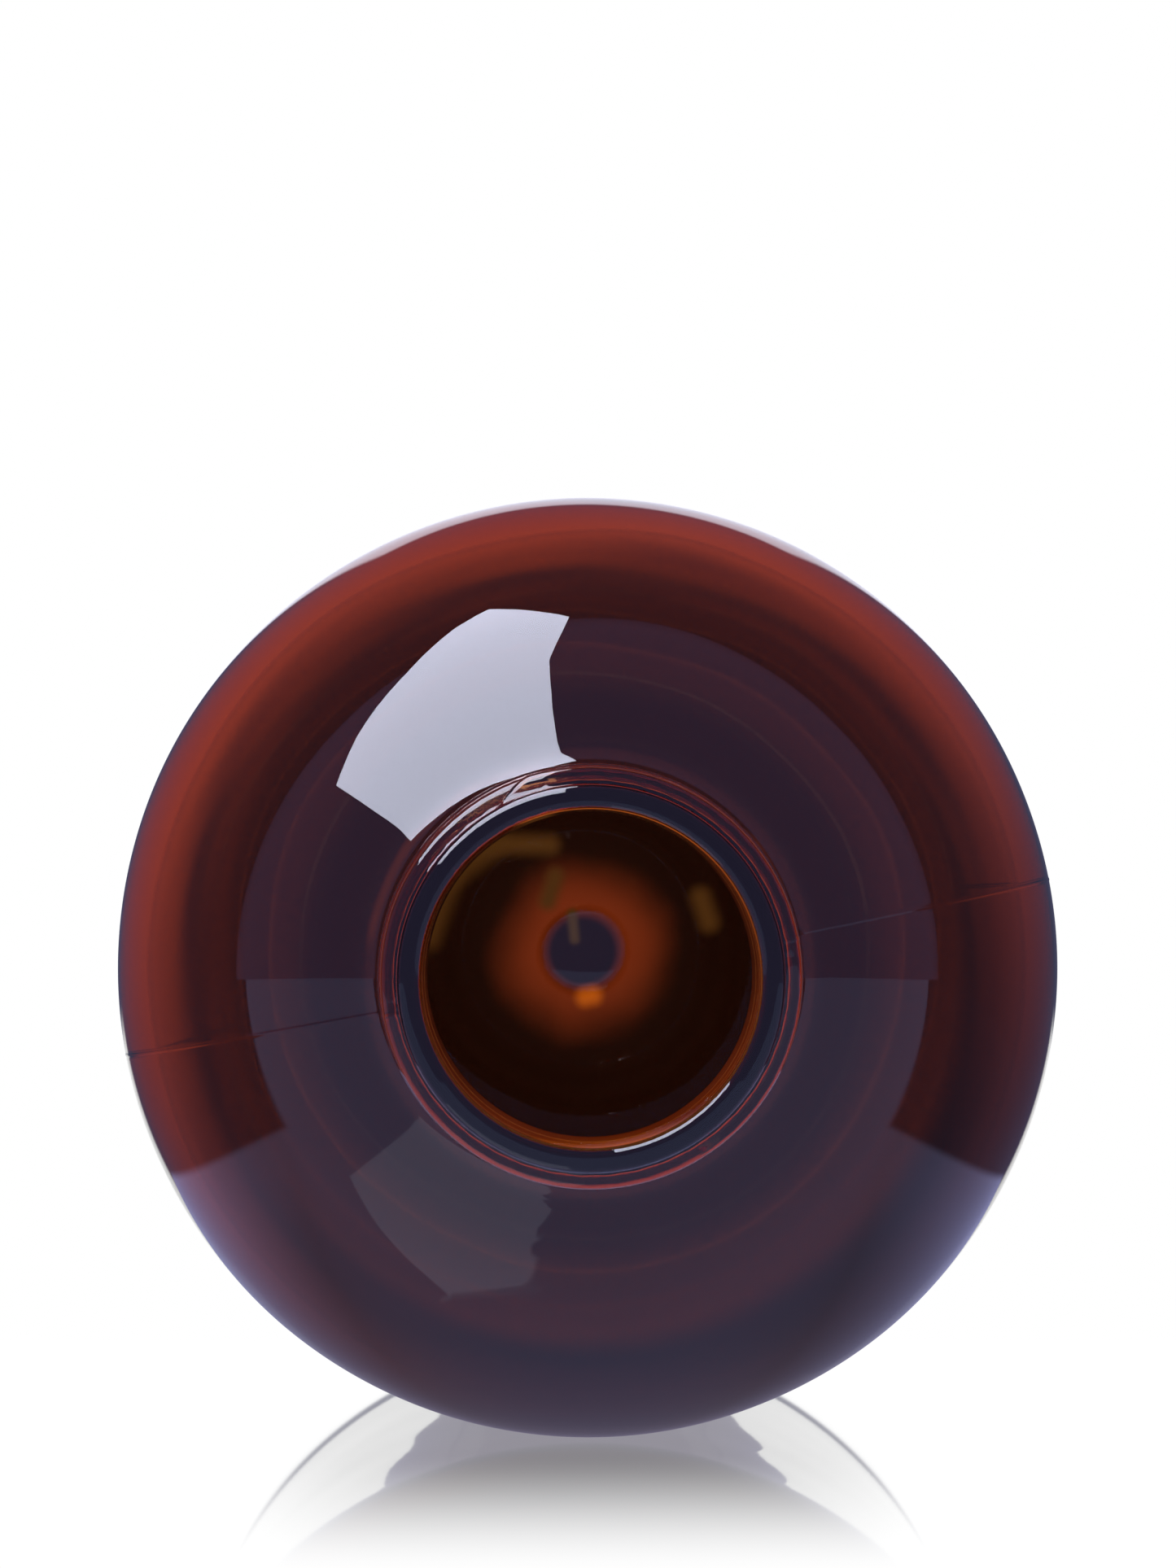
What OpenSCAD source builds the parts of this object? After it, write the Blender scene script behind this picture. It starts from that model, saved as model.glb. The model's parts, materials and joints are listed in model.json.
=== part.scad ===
// One-litre-class glass growler, standing upright on z = 0 with its mouth up.
// It is blown in one piece, so the whole bottle is one solid of glass.
// All sizes are in millimetres. Drops are measured downwards from the lip.

/* [Body] */
// Outside diameter of the body
body_d = 95; // [88:0.5:130]
// Height from the table to the lip
height = 212; // [190:1:260]
// Glass thickness of the side and the shoulder
wall = 3; // [2.4:0.1:4.5]
// Radius of the outside corner between the side and the foot
heel_r = 8; // [5:0.5:14]

/* [Base] */
// Width of the flat ring that the bottle stands on
foot_w = 3; // [2:0.5:6]
// Rise of the hollow under the base at its centre
punt_h = 4.5; // [2:0.5:9]
// Glass thickness of the base
base_t = 6; // [4:0.5:10]
// Radius of the inside corner between the side and the floor
floor_corner_r = 8; // [4:0.5:12]

/* [Shoulder] */
// Drop from the lip to where the body becomes straight
shoulder_drop = 77; // [72:1:95]
// Radius of the round of the shoulder
shoulder_r = 47; // [44:1:68]
// Radius of the sweep from the shoulder into the neck
sweep_r = 10; // [5:0.5:20]

/* [Neck finish] */
// Outside diameter of the neck at the lip and between the threads
neck_d = 34.8; // [33.6:0.1:36]
// Inside diameter of the mouth
bore_d = 30.3; // [27:0.1:31]
// Rounding of the lip's outer edge
lip_outer_r = 0.9; // [0.4:0.1:1.2]
// Rounding of the lip's inner edge
lip_inner_r = 0.7; // [0.3:0.1:0.9]
// Outside diameter of the handling bead under the threads
bead_d = 39; // [37:0.1:41]
// Drop from the lip to the middle of the bead
bead_drop = 15.5; // [14:0.1:17]
// Height of the bead where it leaves the neck
bead_h = 4; // [3:0.1:5]

/* [Thread] */
// Outside diameter over the thread
thread_d = 38.1; // [37:0.1:39]
// Rise of the thread in one turn
thread_pitch = 4.23; // [3.6:0.01:5]
// Turns of thread, counted from end to end
thread_turns = 1.5; // [1:0.05:1.7]
// Width of the thread at its root
thread_w = 2.9; // [2:0.1:3.2]
// Drop from the lip to the middle of the thread's upper end
thread_drop = 3; // [2.4:0.1:4]
// Direction of the thread's upper end, in degrees from +X
thread_start = 121; // [0:1:359]
// Angle in which each end of the thread rises to its full height
thread_run = 14; // [8:1:40]

/* [Hidden] */

$fn = 180;
overlap = 1;             // how far joined profiles and cutters run past each other
thread_root = 0.6;       // how far the thread's root is sunk into the neck
thread_steps = 48;       // thread sections in one turn
thread_sides = 6;        // facets across the thread

body_r = body_d / 2;
neck_r = neck_d / 2;
bore_r = bore_d / 2;
shoulder_z = height - shoulder_drop;

// Centre and radius of the domes that shape the base, outside and inside
foot_outer_r = body_r - heel_r;
foot_inner_r = foot_outer_r - foot_w;
punt_r = (pow(foot_inner_r, 2) + pow(punt_h, 2)) / (2 * punt_h);
dome_z = punt_h - punt_r;
floor_r = punt_r + base_t;

// Inside corner, tangent to the side and to the domed floor
corner_x = body_r - wall - floor_corner_r;
corner_z = dome_z + sqrt(pow(floor_r + floor_corner_r, 2) - pow(corner_x, 2));
corner_touch_x = corner_x * floor_r / (floor_r + floor_corner_r);

// A sweep of radius sweep, beside a neck of radius neck, touches the round of
// radius round at one point. These are its centre and that point, above shoulder_z.
shoulder_x = body_r - shoulder_r;
function sweep_x(neck, sweep) = neck + sweep;
function sweep_z(neck, sweep, round) =
    sqrt(pow(round + sweep, 2) - pow(sweep_x(neck, sweep) - shoulder_x, 2));
function touch_x(neck, sweep, round) =
    shoulder_x + (sweep_x(neck, sweep) - shoulder_x) * round / (round + sweep);
function touch_z(neck, sweep, round) = sweep_z(neck, sweep, round) * round / (round + sweep);

// Half outline of the shoulder's round, its sweep and the straight neck up to top.
// Each piece runs on into the one below it.
module shoulder_outline(neck, sweep, round, top) {
    joint_x = touch_x(neck, sweep, round);
    joint_z = touch_z(neck, sweep, round);
    neck_z = sweep_z(neck, sweep, round);
    translate([0, shoulder_z]) {
        intersection() {
            translate([shoulder_x, 0]) circle(r = round);
            translate([0, -overlap]) square([shoulder_x + round, joint_z + overlap]);
        }
        difference() {
            translate([0, -overlap]) square([joint_x, neck_z + overlap]);
            translate([sweep_x(neck, sweep), neck_z]) circle(r = sweep);
        }
        translate([0, neck_z - overlap]) square([neck, top - shoulder_z - neck_z + overlap]);
    }
}

// Half outline of the outside from the table to the shoulder
module side_outline() {
    translate([0, heel_r]) square([body_r, shoulder_z - heel_r]);
    square([foot_outer_r, heel_r + overlap]);
    intersection() {
        translate([foot_outer_r, heel_r]) circle(r = heel_r);
        translate([foot_outer_r - overlap, 0]) square([heel_r + overlap, heel_r + overlap]);
    }
}

// Half outline of the inside from its domed floor to the shoulder
module cavity_outline() {
    translate([0, corner_z]) square([body_r - wall, shoulder_z - corner_z]);
    difference() {
        square([corner_touch_x, corner_z + overlap]);
        translate([0, dome_z]) circle(r = floor_r);
    }
    intersection() {
        translate([corner_x, corner_z]) circle(r = floor_corner_r);
        translate([corner_touch_x - overlap, 0])
            square([body_r - wall - corner_touch_x + overlap, corner_z + overlap]);
    }
}

// The ring of glass at the mouth that the two edge rounds leave
module lip_cutter() {
    difference() {
        translate([bore_r - overlap, height - lip_inner_r])
            square([overlap + lip_inner_r, lip_inner_r + overlap]);
        translate([bore_r + lip_inner_r, height - lip_inner_r]) circle(r = lip_inner_r);
    }
    difference() {
        translate([neck_r - lip_outer_r, height - lip_outer_r])
            square([lip_outer_r + overlap, lip_outer_r + overlap]);
        translate([neck_r - lip_outer_r, height - lip_outer_r]) circle(r = lip_outer_r);
    }
}

module shell() {
    rotate_extrude() difference() {
        union() {
            side_outline();
            shoulder_outline(neck_r, sweep_r, shoulder_r, height);
            intersection() {
                translate([(bead_d - bead_h) / 2, height - bead_drop]) circle(d = bead_h);
                translate([0, height - bead_drop - bead_h]) square([bead_d, 2 * bead_h]);
            }
        }
        cavity_outline();
        shoulder_outline(bore_r, sweep_r + wall, shoulder_r - wall, height + overlap);
        lip_cutter();
        intersection() {
            translate([0, dome_z]) circle(r = punt_r);
            translate([0, -overlap]) square([foot_inner_r, punt_h + 2 * overlap]);
        }
    }
}

// Right-hand thread: a round ridge that runs down and clockwise from its upper end.
// Its root lies inside the neck's wall, and its crest rises out of it at each end.
thread_angle = thread_turns * 360;
thread_n = ceil(thread_turns * thread_steps);
root_r = neck_r - thread_root;
end_r = neck_r - thread_root / 2;
function rise(a) = min(1, a / thread_run, (thread_angle - a) / thread_run);
function thread_section(a) = let (
    crest = end_r + (thread_d / 2 - end_r) * rise(a) - root_r,
    z = height - thread_drop - thread_pitch * a / 360,
    way = thread_start - a
) [for (k = [0:thread_sides]) let (t = -90 + 180 * k / thread_sides, r = root_r + crest * cos(t))
    [r * cos(way), r * sin(way), z + thread_w / 2 * sin(t)]];

module thread() {
    m = thread_sides + 1;
    points = [for (i = [0:thread_n]) each thread_section(thread_angle * i / thread_n)];
    sides = [for (i = [0:thread_n - 1], k = [0:m - 1]) let (
        a = i * m + k,
        b = i * m + (k + 1) % m
    ) each [[a, b, b + m], [a, b + m, a + m]]];
    caps = [[for (k = [m - 1:-1:0]) k], [for (k = [0:m - 1]) thread_n * m + k]];
    polyhedron(points, concat(sides, caps), convexity = 6);
}

module bottle() {
    color("saddlebrown") union() {
        shell();
        thread();
    }
}

bottle();
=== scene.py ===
import json
import math

import bpy
import numpy as np
from mathutils import Matrix, Vector


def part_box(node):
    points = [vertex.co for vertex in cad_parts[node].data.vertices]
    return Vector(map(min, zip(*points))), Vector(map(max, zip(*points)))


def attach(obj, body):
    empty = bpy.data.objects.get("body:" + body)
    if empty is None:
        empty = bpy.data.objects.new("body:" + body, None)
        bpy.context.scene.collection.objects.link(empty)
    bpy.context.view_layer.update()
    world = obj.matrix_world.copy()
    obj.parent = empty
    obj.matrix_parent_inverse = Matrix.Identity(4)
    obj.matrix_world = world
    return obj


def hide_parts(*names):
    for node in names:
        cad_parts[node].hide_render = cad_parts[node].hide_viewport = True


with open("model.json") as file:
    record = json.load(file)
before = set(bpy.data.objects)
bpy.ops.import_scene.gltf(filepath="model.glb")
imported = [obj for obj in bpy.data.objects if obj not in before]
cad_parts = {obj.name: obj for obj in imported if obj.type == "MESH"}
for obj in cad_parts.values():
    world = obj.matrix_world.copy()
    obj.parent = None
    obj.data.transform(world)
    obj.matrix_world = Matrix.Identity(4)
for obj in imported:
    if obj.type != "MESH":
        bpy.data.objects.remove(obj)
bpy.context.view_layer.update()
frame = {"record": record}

# ---------------------------------------------------------------- sizes, in metres
MM = 0.001
record = frame["record"]
mounts = {m["name"]: m for m in record["mounts"]}
lo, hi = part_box("bottle")
HEIGHT = hi.z
BOX_GAP = 0.03 * MM          # how far the glass stays inside the CAD box
BODY_R = min(hi.x, -lo.x, hi.y, -lo.y) - BOX_GAP
BORE_R = mounts["mouth"]["dims"]["r_mm"] * MM

WALL = 3 * MM
HEEL_R = 8 * MM
FOOT_W = 3 * MM
PUNT_H = 4.5 * MM
BASE_T = 6 * MM
CORNER_R = 8 * MM
SHOULDER_Z = HEIGHT - 77 * MM
SHOULDER_R = 47 * MM
SWEEP_R = 10 * MM
NECK_R = 17.4 * MM
LIP_OUTER = 0.9 * MM
LIP_INNER = 0.7 * MM
BEAD_R = 19.5 * MM
BEAD_DROP = 15.5 * MM
BEAD_HALF = 2.0 * MM
THREAD_R = 19.05 * MM
THREAD_PITCH = 4.23 * MM
THREAD_TURNS = 1.5
THREAD_W = 2.9 * MM
THREAD_DROP = 3 * MM
THREAD_START = 121.0
THREAD_RUN = 14.0
THREAD_POWER = 3.2           # squareness of the thread's and the bead's section
BEAD_POWER = 4.0
ROOT_REACH = 0.16            # how far a ridge's root runs past its flank, in half widths
ROOT_RISE = 8
SEAMS = (10.8, 190.8)        # directions of the mould seams, in degrees
SEAM_WIDTH = 0.16 * MM
SEAM_HEIGHT = 0.05 * MM
SEAM_SPAN = 0.6              # half the angle with finer columns at a seam
SEAM_COLUMNS = 17
COLUMNS = 560
WAVE = 0.05 * MM             # depth of the unevenness of the glass
# Seed, count, shortest and longest wave of the unevenness, outside and inside
WAVES_OUT = (3, 18, 16 * MM, 42 * MM)
WAVES_IN = (5, 22, 22 * MM, 60 * MM)
FOOT_DASHES = 96
FOOT_NOTCH = 0.18 * MM

# Spacing of the profile's points on flat, round and fine stretches
SIDE_STEP = 2.2 * MM
ROUND_STEP = 0.7 * MM
INSIDE_STEP = 0.9 * MM
NECK_STEP = 0.1 * MM
LIP_STEP = 0.12 * MM


# ---------------------------------------------------------------- the bottle's profile
def arc(cx, cz, r, a0, a1, step):
    """Points of an arc from angle a0 to a1 in degrees, without the last one."""
    n = max(2, int(math.ceil(abs(math.radians(a1 - a0)) * r / step)))
    t = np.radians(a0 + (a1 - a0) * np.arange(n) / n)
    return np.c_[cx + r * np.cos(t), cz + r * np.sin(t)]


def line(r0, z0, r1, z1, step):
    """Points of a straight stretch, without the last one."""
    n = max(1, int(math.ceil(math.hypot(r1 - r0, z1 - z0) / step)))
    t = np.arange(n)[:, None] / n
    return np.array([r0, z0]) * (1 - t) + np.array([r1, z1]) * t


def shoulder(neck, sweep, round_):
    """Sweep centre height, and the angle at which sweep and round meet."""
    dx = neck + sweep - (BODY_R - SHOULDER_R)
    dz = math.sqrt((round_ + sweep) ** 2 - dx ** 2)
    return SHOULDER_Z + dz, math.degrees(math.atan2(dz, dx))


foot_out = BODY_R - HEEL_R
foot_in = foot_out - FOOT_W
punt_r = (foot_in ** 2 + PUNT_H ** 2) / (2 * PUNT_H)
dome_z = PUNT_H - punt_r
floor_r = punt_r + BASE_T
corner_x = BODY_R - WALL - CORNER_R
corner_z = dome_z + math.sqrt((floor_r + CORNER_R) ** 2 - corner_x ** 2)
corner_a = math.degrees(math.atan2(corner_z - dome_z, corner_x))
cx = BODY_R - SHOULDER_R
out_z, out_a = shoulder(NECK_R, SWEEP_R, SHOULDER_R)
in_z, in_a = shoulder(BORE_R, SWEEP_R + WALL, SHOULDER_R - WALL)

segments = []


def add(kind, points):
    segments.append((kind, points))


punt_end = math.degrees(math.atan2(-dome_z, foot_in))
add("punt", arc(0, dome_z, punt_r, 90, punt_end, ROUND_STEP)[1:])
add("foot", line(foot_in, 0, foot_out, 0, 0.3 * MM))
add("heel", arc(foot_out, HEEL_R, HEEL_R, -90, 0, ROUND_STEP))
add("side", line(BODY_R, HEEL_R, BODY_R, SHOULDER_Z, SIDE_STEP))
add("shoulder", arc(cx, SHOULDER_Z, SHOULDER_R, 0, out_a, ROUND_STEP))
add("sweep", arc(NECK_R + SWEEP_R, out_z, SWEEP_R, out_a + 180, 180, 0.5 * MM))
add("neck", line(NECK_R, out_z, NECK_R, HEIGHT - LIP_OUTER, NECK_STEP))
add("lip", arc(NECK_R - LIP_OUTER, HEIGHT - LIP_OUTER, LIP_OUTER, 0, 90, LIP_STEP))
add("lip", line(NECK_R - LIP_OUTER, HEIGHT, BORE_R + LIP_INNER, HEIGHT, 0.2 * MM))
add("lip", arc(BORE_R + LIP_INNER, HEIGHT - LIP_INNER, LIP_INNER, 90, 180, LIP_STEP))
add("bore", line(BORE_R, HEIGHT - LIP_INNER, BORE_R, in_z, 1.0 * MM))
add("in", arc(BORE_R + SWEEP_R + WALL, in_z, SWEEP_R + WALL, 180, in_a + 180, 0.8 * MM))
add("in", arc(cx, SHOULDER_Z, SHOULDER_R - WALL, in_a, 0, INSIDE_STEP))
add("in", line(BODY_R - WALL, SHOULDER_Z, BODY_R - WALL, corner_z, SIDE_STEP))
add("in", arc(corner_x, corner_z, CORNER_R, 0, corner_a - 180, ROUND_STEP))
add("floor", arc(0, dome_z, floor_r, corner_a, 90, INSIDE_STEP))

kinds = [k for k, p in segments for _ in p]
prof = np.concatenate([p for _, p in segments])
tang = np.gradient(prof, axis=0)
tang /= np.linalg.norm(tang, axis=1)[:, None]
norm = np.c_[tang[:, 1], -tang[:, 0]]


# ---------------------------------------------------------------- columns and displacement
def waves(seed, count, low, high):
    """Smooth noise in space with wavelengths from low to high, about -1 to 1."""
    rng = np.random.default_rng(seed)
    way = rng.normal(size=(count, 3))
    way /= np.linalg.norm(way, axis=1)[:, None]
    k = way * (2 * math.pi / rng.uniform(low, high, count))[:, None]
    phase = rng.uniform(0, 2 * math.pi, count)
    return lambda p: np.cos(p @ k.T + phase).sum(-1) / math.sqrt(count / 2) / 1.6


angles = list(np.arange(COLUMNS) * 360.0 / COLUMNS)
for s in SEAMS:
    angles += list(s + np.linspace(-SEAM_SPAN, SEAM_SPAN, SEAM_COLUMNS))
angles = np.array(sorted(set(np.round(np.mod(angles, 360.0), 4))))
phi = np.radians(angles)
N = len(phi)
M = len(prof)

R = prof[:, 0][:, None]
Z = prof[:, 1][:, None]
P = np.stack([R * np.cos(phi), R * np.sin(phi), Z + 0 * phi], -1)
kind = np.array(kinds)
outer = np.isin(kind, ["heel", "side", "shoulder", "sweep", "neck"])
inner = np.isin(kind, ["in"])
disp = np.zeros((M, N))


def smooth(x, a, b):
    t = np.clip((x - a) / (b - a), 0, 1)
    return t * t * (3 - 2 * t)


def ridge(u, power):
    """Section of a moulded ridge from -1 to 1: a flat crest, steep flanks and small roots."""
    u = np.abs(u)
    crest = np.clip(1 - u ** power, 0, 1) ** (1 / power)
    root = np.clip(1 + ROOT_REACH - u, 0, ROOT_REACH) ** 2 * ROOT_RISE
    return np.maximum(crest, root)


# thread and bead
neck_rows = np.where(kind == "neck")[0]
z_neck = prof[neck_rows, 1][:, None]
down = np.mod(THREAD_START - angles, 360.0)[None, :]
height = np.zeros((len(neck_rows), N))
for turn in (0, 1):
    a = down + 360.0 * turn
    rise = np.clip(np.minimum(a, THREAD_TURNS * 360 - a) / THREAD_RUN, 0, 1)
    rise = np.where(a <= THREAD_TURNS * 360, rise * rise * (3 - 2 * rise), 0)
    zc = HEIGHT - THREAD_DROP - THREAD_PITCH * a / 360
    section = ridge((z_neck - zc) / (THREAD_W / 2), THREAD_POWER)
    height = np.maximum(height, (THREAD_R - NECK_R) * rise * section)
bead = ridge((z_neck - (HEIGHT - BEAD_DROP)) / BEAD_HALF, BEAD_POWER) * (BEAD_R - NECK_R)
disp[neck_rows] = np.maximum(height, bead)

# parting seams
for s in SEAMS:
    off = (np.mod(angles - s + 180, 360) - 180)[None, :]
    arc_len = np.radians(off) * R
    seam = SEAM_HEIGHT * np.exp(-(arc_len / SEAM_WIDTH) ** 2)
    disp += np.where(outer[:, None], seam, 0)

# uneven glass
wavy_out = waves(*WAVES_OUT)
wavy_in = waves(*WAVES_IN)
zone_out = np.where(np.isin(kind, ["side", "shoulder", "sweep"]), 1.0, 0.0)
zone_out *= smooth(prof[:, 1], HEEL_R, HEEL_R + 20 * MM)
zone_out *= 1 - smooth(prof[:, 1], out_z - 8 * MM, out_z)
disp -= zone_out[:, None] * (wavy_out(P) * 0.5 + 0.5) * WAVE
zone_in = np.where(inner, 1.0, 0.0) * (1 - smooth(prof[:, 1], in_z - 12 * MM, in_z))
zone_in = np.where(kind == "floor", smooth(prof[:, 0], 0, 8 * MM), zone_in)
disp += zone_in[:, None] * wavy_in(P) * WAVE

# stippled foot
foot_rows = np.where(kind == "foot")[0]
across = (prof[foot_rows, 0] - foot_in) / FOOT_W
dash = 0.5 + 0.5 * np.cos(np.radians(angles) * FOOT_DASHES)[None, :]
notch = smooth(across, 0.1, 0.3) * (1 - smooth(across, 0.75, 0.95))
disp[foot_rows] -= notch[:, None] * (1 - smooth(dash, 0.25, 0.6)) * FOOT_NOTCH

Rd = R + norm[:, :1] * disp
Zd = Z + norm[:, 1:] * disp
Zd = np.maximum(Zd, 0.0)
verts = np.stack([Rd * np.cos(phi), Rd * np.sin(phi), Zd], -1).reshape(-1, 3)
grid = np.arange(M * N).reshape(M, N)
nxt = np.roll(grid, -1, axis=1)
quads = np.stack([grid[:-1], nxt[:-1], nxt[1:], grid[1:]], -1).reshape(-1, 4)
pole_a, pole_b = M * N, M * N + 1
verts = np.vstack([verts, [[0, 0, dome_z + punt_r], [0, 0, dome_z + floor_r]]])
faces = quads.tolist()
faces += [[pole_a, int(nxt[0, j]), int(grid[0, j])] for j in range(N)]
faces += [[pole_b, int(grid[-1, j]), int(nxt[-1, j])] for j in range(N)]

mesh = bpy.data.meshes.new("bottle_glass")
mesh.from_pydata(verts.tolist(), [], faces)
mesh.update()
mesh.polygons.foreach_set("use_smooth", [True] * len(mesh.polygons))
bottle = bpy.data.objects.new("bottle_glass", mesh)
bpy.context.scene.collection.objects.link(bottle)


# ---------------------------------------------------------------- node helpers
class Nodes:
    """Short calls for building one node tree."""
    def __init__(self, tree):
        self.t = tree
        tree.nodes.clear()

    def new(self, kind, **values):
        n = self.t.nodes.new(kind)
        for k, v in values.items():
            setattr(n, k, v)
        return n

    def link(self, a, b):
        self.t.links.new(a, b)

    def put(self, socket, value):
        if isinstance(value, bpy.types.NodeSocket):
            self.link(value, socket)
        else:
            socket.default_value = value

    def math(self, op, a, b=0.0, c=0.0):
        n = self.new("ShaderNodeMath", operation=op)
        for i, v in enumerate((a, b, c)):
            self.put(n.inputs[i], v)
        return n.outputs[0]

    def step(self, x, a, b):
        """0 below a, 1 above b, smooth between. a may be above b."""
        n = self.new("ShaderNodeMapRange", interpolation_type="SMOOTHSTEP")
        self.put(n.inputs["Value"], x)
        flip = a > b
        n.inputs["From Min"].default_value = min(a, b)
        n.inputs["From Max"].default_value = max(a, b)
        n.inputs["To Min"].default_value = 1.0 if flip else 0.0
        n.inputs["To Max"].default_value = 0.0 if flip else 1.0
        return n.outputs["Result"]

    def mix(self, fac, a, b):
        n = self.new("ShaderNodeMix", data_type="RGBA")
        self.put(n.inputs[0], fac)
        self.put(n.inputs[6], a)
        self.put(n.inputs[7], b)
        return n.outputs[2]

    def mul(self, *xs):
        out = xs[0]
        for x in xs[1:]:
            out = self.math("MULTIPLY", out, x)
        return out

    def xyz(self, source):
        n = self.new("ShaderNodeSeparateXYZ")
        self.link(source, n.inputs[0])
        return n.outputs


def rgb(r, g, b):
    return (r, g, b, 1.0)


# ---------------------------------------------------------------- amber glass
RED, GREEN, BLUE = 140.0, 430.0, 800.0      # absorption per metre
GLASS_IOR = 1.52
BUMP_SCALE, BUMP_STRENGTH, BUMP_DEPTH = 60.0, 0.05, 0.2 * MM
mat = bpy.data.materials.new("amber_glass")
mat.use_nodes = True
n = Nodes(mat.node_tree)
out = n.new("ShaderNodeOutputMaterial")
bsdf = n.new("ShaderNodeBsdfPrincipled")
bsdf.inputs["Base Color"].default_value = rgb(1, 1, 1)
bsdf.inputs["Transmission Weight"].default_value = 1.0
bsdf.inputs["IOR"].default_value = GLASS_IOR
coords = n.new("ShaderNodeTexCoord")
fine = n.new("ShaderNodeTexNoise")
fine.inputs["Scale"].default_value = BUMP_SCALE
fine.inputs["Detail"].default_value = 3.0
n.link(coords.outputs["Object"], fine.inputs["Vector"])
bsdf.inputs["Roughness"].default_value = 0.0
bump = n.new("ShaderNodeBump")
bump.inputs["Strength"].default_value = BUMP_STRENGTH
bump.inputs["Distance"].default_value = BUMP_DEPTH
n.link(fine.outputs[0], bump.inputs["Height"])
n.link(bump.outputs[0], bsdf.inputs["Normal"])
absorb = n.new("ShaderNodeVolumeAbsorption")
absorb.inputs["Color"].default_value = rgb(1 - RED / BLUE, 1 - GREEN / BLUE, 0.0)
absorb.inputs["Density"].default_value = BLUE
n.link(bsdf.outputs[0], out.inputs["Surface"])
n.link(absorb.outputs[0], out.inputs["Volume"])
bottle.data.materials.append(mat)
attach(bottle, "root")
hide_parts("bottle")


# ---------------------------------------------------------------- stage
def card(name, corners):
    m = bpy.data.meshes.new(name)
    m.from_pydata(corners, [], [list(range(len(corners)))])
    m.update()
    o = bpy.data.objects.new(name, m)
    bpy.context.scene.collection.objects.link(o)
    mt = bpy.data.materials.new(name)
    mt.use_nodes = True
    o.data.materials.append(mt)
    return o, Nodes(mt.node_tree)


def flags(n):
    """Switches for camera rays, rays only reflected, and rays that went through glass."""
    p = n.new("ShaderNodeLightPath")
    through = p.outputs["Is Transmission Ray"]
    reflected = n.math("SUBTRACT", p.outputs["Is Glossy Ray"], through)
    return p.outputs["Is Camera Ray"], n.math("MAXIMUM", reflected, 0.0), through


ROOM = (0.28, 0.25, 0.52)      # what the dim room behind the camera sends
BACK = (0.08, 0.08, 0.15)      # the dark surroundings behind the bottle
TABLE = (0.42, 0.45, 0.85)     # the table as the bottle reflects it
# painted shadow of the bottle on the table near where they touch, as the bottle reflects it
TABLE_SHADOW = (0.18, 0.16, 0.24)
SOFTBOX = (9.5, 9.9, 12.3)
CONTACT = (0.35, 0.34, 0.36)   # the shadow of the bottle on the floor
UNDER_SHADE = (0.006, 0.01, 0.03)    # painted shade on the floor under the bottle, seen through the glass
GLOW = (0.34, 0.26, 0.5)       # the light under the middle of the base
# colours of painted reflections, seen through the base
BROWN = (0.14, 0.3, 0.5)
GREY_BROWN = (0.12, 0.35, 0.7)
ORANGE = (1.0, 1.1, 0.6)
FLOOR_LIGHT = (1.0, 0.98, 1.15)
WHITE = rgb(1, 1, 1)
FLOOR_HALF = 3.0
# Edges of the zones painted on the stage, each as the start and end of a smooth step, in metres
SHADOW_EDGE = (0.040, 0.056)
PLAIN_FLOOR = (0.35, 0.8)
UNDER_SHADE_EDGE = (0.050, 0.078)
PUPIL_EDGE = (0.0035, 0.0058)
GLOW_EDGE = (0.0125, 0.0052)
BEHIND_NEAR, BEHIND_FAR, BEHIND_SIDE = (-0.01, 0.01), (0.112, 0.102), (0.058, 0.050)
BESIDE_NEAR, BESIDE_IN, BESIDE_SIDE = (-0.008, -0.016), (0.0474, 0.0478), (0.092, 0.080)
COVER_TOP, COVER_SIDE = (0.168, 0.173), (0.094, 0.088)
LIT_TOP, LIT_SIDE, LIT_SHARE = (0.138, 0.175), (0.01, 0.08), 0.8
FADE_TOP, FADE_SIDE, FADE_SHARE = (0.262, 0.150), (0.07, 0.04), 0.8
# The same for the height of a ray's direction in the world
LOW_RAYS = (0.35, 0.12)
HORIZON = (-0.12, 0.0)
SHEEN, SHEEN_ROUGHNESS, MIRROR_ROUGHNESS = 0.045, 0.04, 0.03

STAGE_GAP = 0.3 * MM           # how far the floor and the table keep off the glass
LIT_FLOOR_WAY = math.radians(110)   # direction of the painted lit side of the floor seen through the glass
SHADED_FLOOR_SHARE = 0.04                # its darkest share, in painted shade towards the table
BLUR = 5 * MM                  # unevenness of the glow's edge

# floor
_, n = card("floor", [(x * FLOOR_HALF, y * FLOOR_HALF, -STAGE_GAP)
                      for x, y in ((-1, -1), (1, -1), (1, 1), (-1, 1))])
out = n.new("ShaderNodeOutputMaterial")
_, mirror, through = flags(n)
geo = n.new("ShaderNodeNewGeometry")
pos = n.xyz(geo.outputs["Position"])
dist = n.math("POWER", n.math("ADD", n.mul(pos[0], pos[0]), n.mul(pos[1], pos[1])), 0.5)
away = n.step(dist, *SHADOW_EDGE)
open_floor = n.mix(away, rgb(*CONTACT), WHITE)
# The floor seen through the glass is painted lit on one side and falls into painted shade towards the
# table.
along = n.math("ADD", n.mul(pos[0], math.cos(LIT_FLOOR_WAY)), n.mul(pos[1], math.sin(LIT_FLOOR_WAY)))
turn = n.math("DIVIDE", along, dist)
level = n.math("MULTIPLY_ADD", n.step(turn, -1.0, 1.0), 1 - SHADED_FLOOR_SHARE, SHADED_FLOOR_SHARE)
ring = n.mix(n.step(dist, *PLAIN_FLOOR), n.mix(level, rgb(0, 0, 0), WHITE), WHITE)
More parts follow.
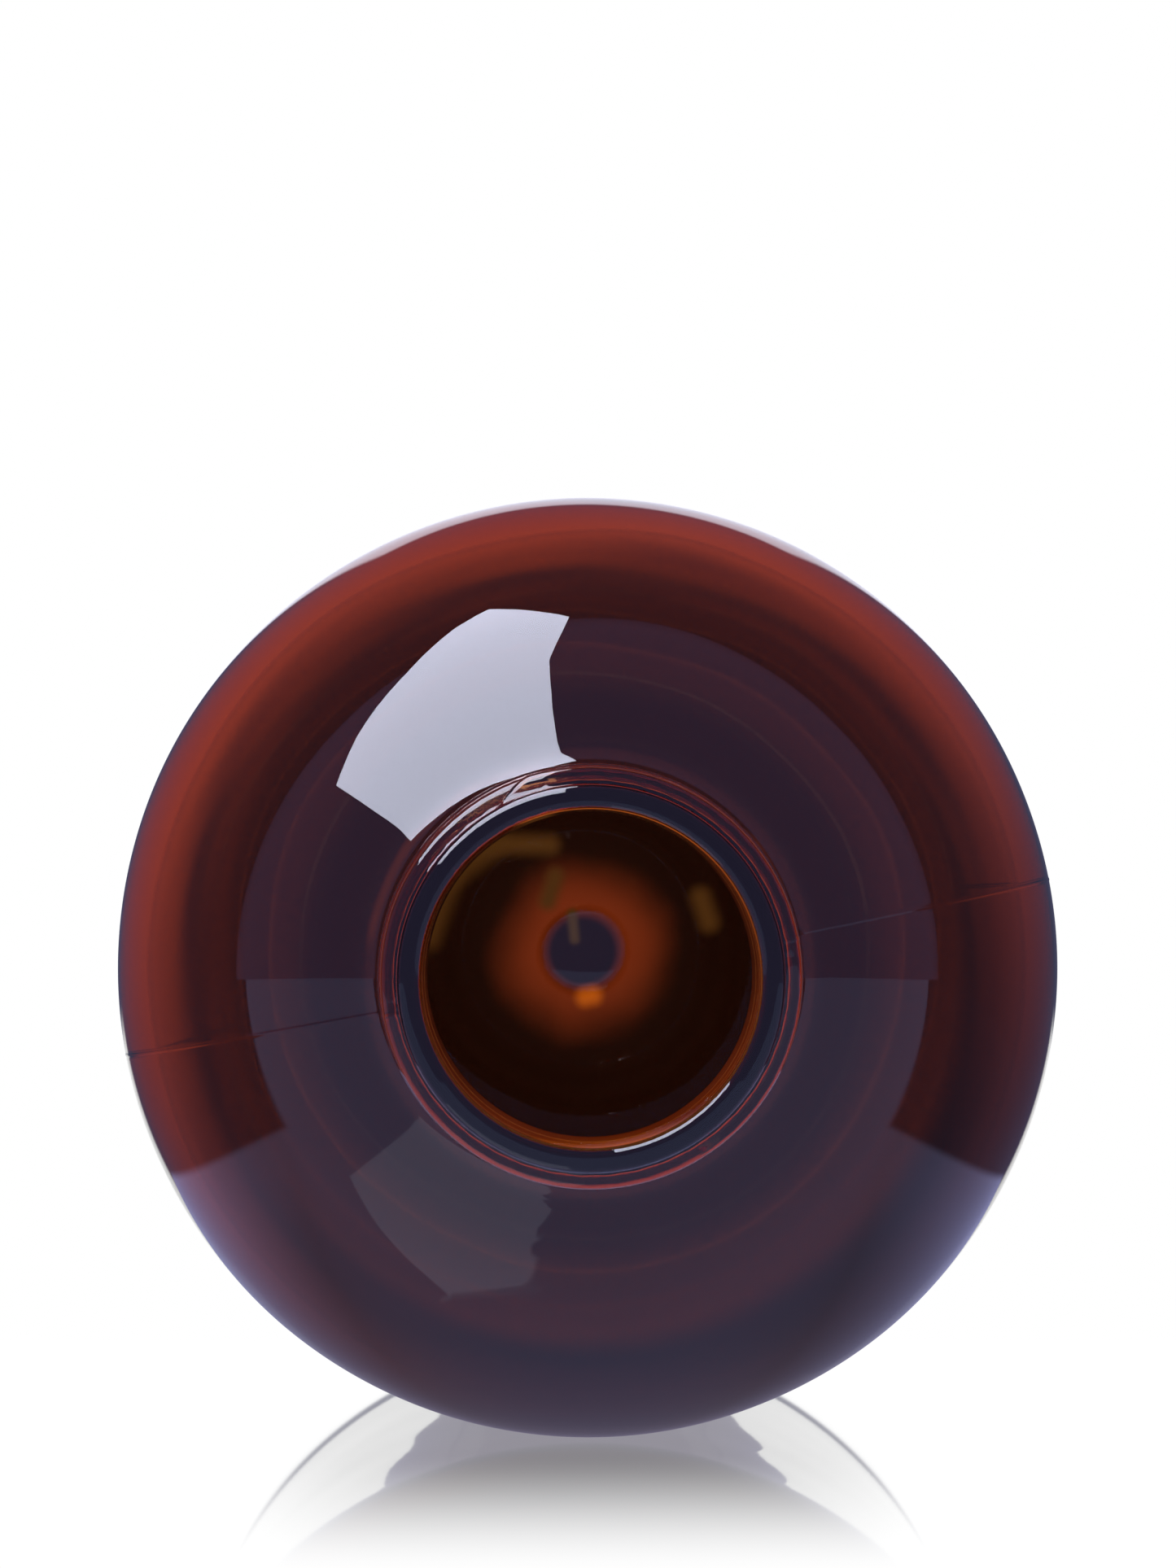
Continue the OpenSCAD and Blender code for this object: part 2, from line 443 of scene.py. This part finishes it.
# painted shade under the bottle, where the floor is seen through the glass
seen_through = n.mix(n.step(dist, *UNDER_SHADE_EDGE), rgb(*UNDER_SHADE), ring)
shape = n.new("ShaderNodeTexNoise")
shape.inputs["Scale"].default_value = 70.0
n.link(geo.outputs["Position"], shape.inputs["Vector"])
soft_dist = n.math("ADD", dist, n.math("MULTIPLY_ADD", shape.outputs[0], BLUR, -BLUR / 2))
glow = n.mul(n.step(dist, *PUPIL_EDGE), n.step(soft_dist, *GLOW_EDGE))
seen_through = n.mix(glow, seen_through, rgb(*GLOW))


def reflection_spot(x0, y0, x1, y1, r, colour, under):
    """A soft painted reflection along a line on the floor, over what is under it. Sizes in millimetres."""
    a, b = Vector((x0, y0, 0)) * MM, Vector((x1, y1, 0)) * MM
    d = b - a
    flat = n.new("ShaderNodeCombineXYZ")
    n.link(pos[0], flat.inputs[0])
    n.link(pos[1], flat.inputs[1])
    rel = n.new("ShaderNodeVectorMath", operation="SUBTRACT")
    n.link(flat.outputs[0], rel.inputs[0])
    rel.inputs[1].default_value = a
    dot = n.new("ShaderNodeVectorMath", operation="DOT_PRODUCT")
    n.link(rel.outputs[0], dot.inputs[0])
    dot.inputs[1].default_value = d / max(d.length_squared, 1e-12)
    t = n.math("MINIMUM", n.math("MAXIMUM", dot.outputs["Value"], 0.0), 1.0)
    on = n.new("ShaderNodeVectorMath", operation="SCALE")
    on.inputs[0].default_value = d
    n.link(t, on.inputs["Scale"])
    off = n.new("ShaderNodeVectorMath", operation="DISTANCE")
    n.link(rel.outputs[0], off.inputs[0])
    n.link(on.outputs[0], off.inputs[1])
    return n.mix(n.step(off.outputs["Value"], r * MM, 0.0), under, rgb(*colour))


# Each painted reflection: start, end, radius and colour
for *size, tint in ((-19, 2, -16.5, 9, 3.2, BROWN), (-16.5, 9, -11, 13, 3.0, BROWN),
                    (-11, 13, -4, 12.8, 2.2, BROWN), (-3.3, 9, -4.2, 6.0, 1.9, BROWN),
                    (14.2, 6.5, 15.2, 3.5, 2.2, BROWN), (-1.3, 4.5, -1.0, 1.5, 1.1, GREY_BROWN),
                    (0.3, -5.6, 1.2, -5.4, 1.9, ORANGE)):
    seen_through = reflection_spot(*size, tint, seen_through)
across = n.math("ABSOLUTE", pos[0])
behind = n.mul(n.step(pos[1], *BEHIND_NEAR), n.step(pos[1], *BEHIND_FAR),
               n.step(across, *BEHIND_SIDE))
reflected = n.mix(behind, rgb(*BACK), rgb(*FLOOR_LIGHT))
beside = n.mul(n.step(pos[1], *BESIDE_NEAR), n.step(dist, *BESIDE_IN),
               n.step(across, *BESIDE_SIDE))
reflected = n.mix(beside, reflected, WHITE)
colour = n.mix(through, open_floor, seen_through)
colour = n.mix(mirror, colour, reflected)
emit = n.new("ShaderNodeEmission")
n.link(colour, emit.inputs["Color"])
n.link(emit.outputs[0], out.inputs["Surface"])

# the glossy table that the bottle leans on in the camera's view: a plane along its side
TABLE_Y = -BODY_R - STAGE_GAP
TABLE_HALF, TABLE_TOP = 1.2, 1.4
_, n = card("table_card", [(-TABLE_HALF, TABLE_Y, 0), (-TABLE_HALF, TABLE_Y, TABLE_TOP),
                           (TABLE_HALF, TABLE_Y, TABLE_TOP), (TABLE_HALF, TABLE_Y, 0)])
out = n.new("ShaderNodeOutputMaterial")
cam_ray, mirror, _ = flags(n)
geo = n.new("ShaderNodeNewGeometry")
pos = n.xyz(geo.outputs["Position"])
near = n.step(pos[2], *COVER_TOP)
across = n.math("ABSOLUTE", pos[0])
strip = n.step(across, *COVER_SIDE)
cover = n.math("MAXIMUM", near, strip)
# painted shadow on the table, darkest low down near the contact line and lighter with height and to the
# sides
lit = n.math("MAXIMUM", n.step(pos[2], *LIT_TOP), n.mul(n.step(across, *LIT_SIDE), LIT_SHARE))
table_light = n.mix(lit, rgb(*TABLE_SHADOW), rgb(*TABLE))
table_light = n.mix(cover, rgb(*BACK), table_light)
emit = n.new("ShaderNodeEmission")
n.link(n.mix(mirror, WHITE, table_light), emit.inputs["Color"])
sheen = n.new("ShaderNodeBsdfGlossy")
sheen.inputs["Roughness"].default_value = SHEEN_ROUGHNESS
sheen.inputs["Color"].default_value = rgb(SHEEN, SHEEN, SHEEN)
pale = n.new("ShaderNodeAddShader")
n.link(emit.outputs[0], pale.inputs[0])
n.link(sheen.outputs[0], pale.inputs[1])
gloss = n.new("ShaderNodeBsdfGlossy")
gloss.inputs["Roughness"].default_value = MIRROR_ROUGHNESS
gloss.inputs["Color"].default_value = WHITE
fade = n.mul(n.step(pos[2], *FADE_TOP), n.step(across, *FADE_SIDE), FADE_SHARE)
both = n.new("ShaderNodeMixShader")
n.link(n.mul(cam_ray, fade), both.inputs[0])
n.link(pale.outputs[0], both.inputs[1])
n.link(gloss.outputs[0], both.inputs[2])
clear = n.new("ShaderNodeBsdfTransparent")
last = n.new("ShaderNodeMixShader")
shown = n.mul(n.math("MAXIMUM", cam_ray, mirror), n.math("SUBTRACT", 1.0, geo.outputs["Backfacing"]))
n.link(shown, last.inputs[0])
n.link(clear.outputs[0], last.inputs[1])
n.link(both.outputs[0], last.inputs[2])
n.link(last.outputs[0], out.inputs["Surface"])

# softbox over the bottle, seen only in reflections
SOFTBOX_Y = 0.45
corners = [(-0.124, 0.074), (-0.025, 0.138), (-0.035, 0.176), (-0.056, 0.245), (-0.060, 0.371),
           (-0.060, 0.75), (-0.60, 0.75), (-0.62, 0.300), (-0.440, 0.213), (-0.275, 0.149), (-0.174, 0.095)]
_, n = card("softbox", [(x, SOFTBOX_Y, z) for x, z in corners])
out = n.new("ShaderNodeOutputMaterial")
_, mirror, _ = flags(n)
emit = n.new("ShaderNodeEmission")
emit.inputs["Color"].default_value = rgb(*SOFTBOX)
clear = n.new("ShaderNodeBsdfTransparent")
last = n.new("ShaderNodeMixShader")
n.link(mirror, last.inputs[0])
n.link(clear.outputs[0], last.inputs[1])
n.link(emit.outputs[0], last.inputs[2])
n.link(last.outputs[0], out.inputs["Surface"])

# world
world = bpy.data.worlds.new("studio")
bpy.context.scene.world = world
world.use_nodes = True
n = Nodes(world.node_tree)
out = n.new("ShaderNodeOutputWorld")
_, mirror, through = flags(n)
tc = n.new("ShaderNodeTexCoord")
way = n.xyz(tc.outputs["Generated"])
low = n.step(way[2], *LOW_RAYS)
colour = n.mix(through, WHITE, n.mix(low, rgb(*ROOM), WHITE))
reflected = n.mix(n.step(way[2], *HORIZON), rgb(*BACK), rgb(*ROOM))
colour = n.mix(mirror, colour, reflected)
bg = n.new("ShaderNodeBackground")
n.link(colour, bg.inputs["Color"])
n.link(bg.outputs[0], out.inputs["Surface"])

# ---------------------------------------------------------------- camera
cam_data = bpy.data.cameras.new("camera")
cam = bpy.data.objects.new("camera", cam_data)
bpy.context.scene.collection.objects.link(cam)
cam_data.sensor_width = 36
cam_data.lens = 145.3
cam_data.clip_start, cam_data.clip_end = 0.01, 20
CAM_X, CAM_Y, CAM_ABOVE = -2.7 * MM, 9.1 * MM, 0.564
AIM_X, AIM_Y = math.radians(0.2467), math.radians(0.8395)
cam.location = (CAM_X, CAM_Y, HEIGHT + CAM_ABOVE)
aim = Vector((math.tan(AIM_X), math.tan(AIM_Y), -1)).normalized()
side = aim.cross(Vector((0, 1, 0))).normalized()
up = side.cross(aim)
cam.rotation_mode = "QUATERNION"
cam.rotation_quaternion = Matrix((side, up, -aim)).transposed().to_quaternion()
bpy.context.scene.camera = cam
bpy.context.scene.view_settings.view_transform = "Standard"
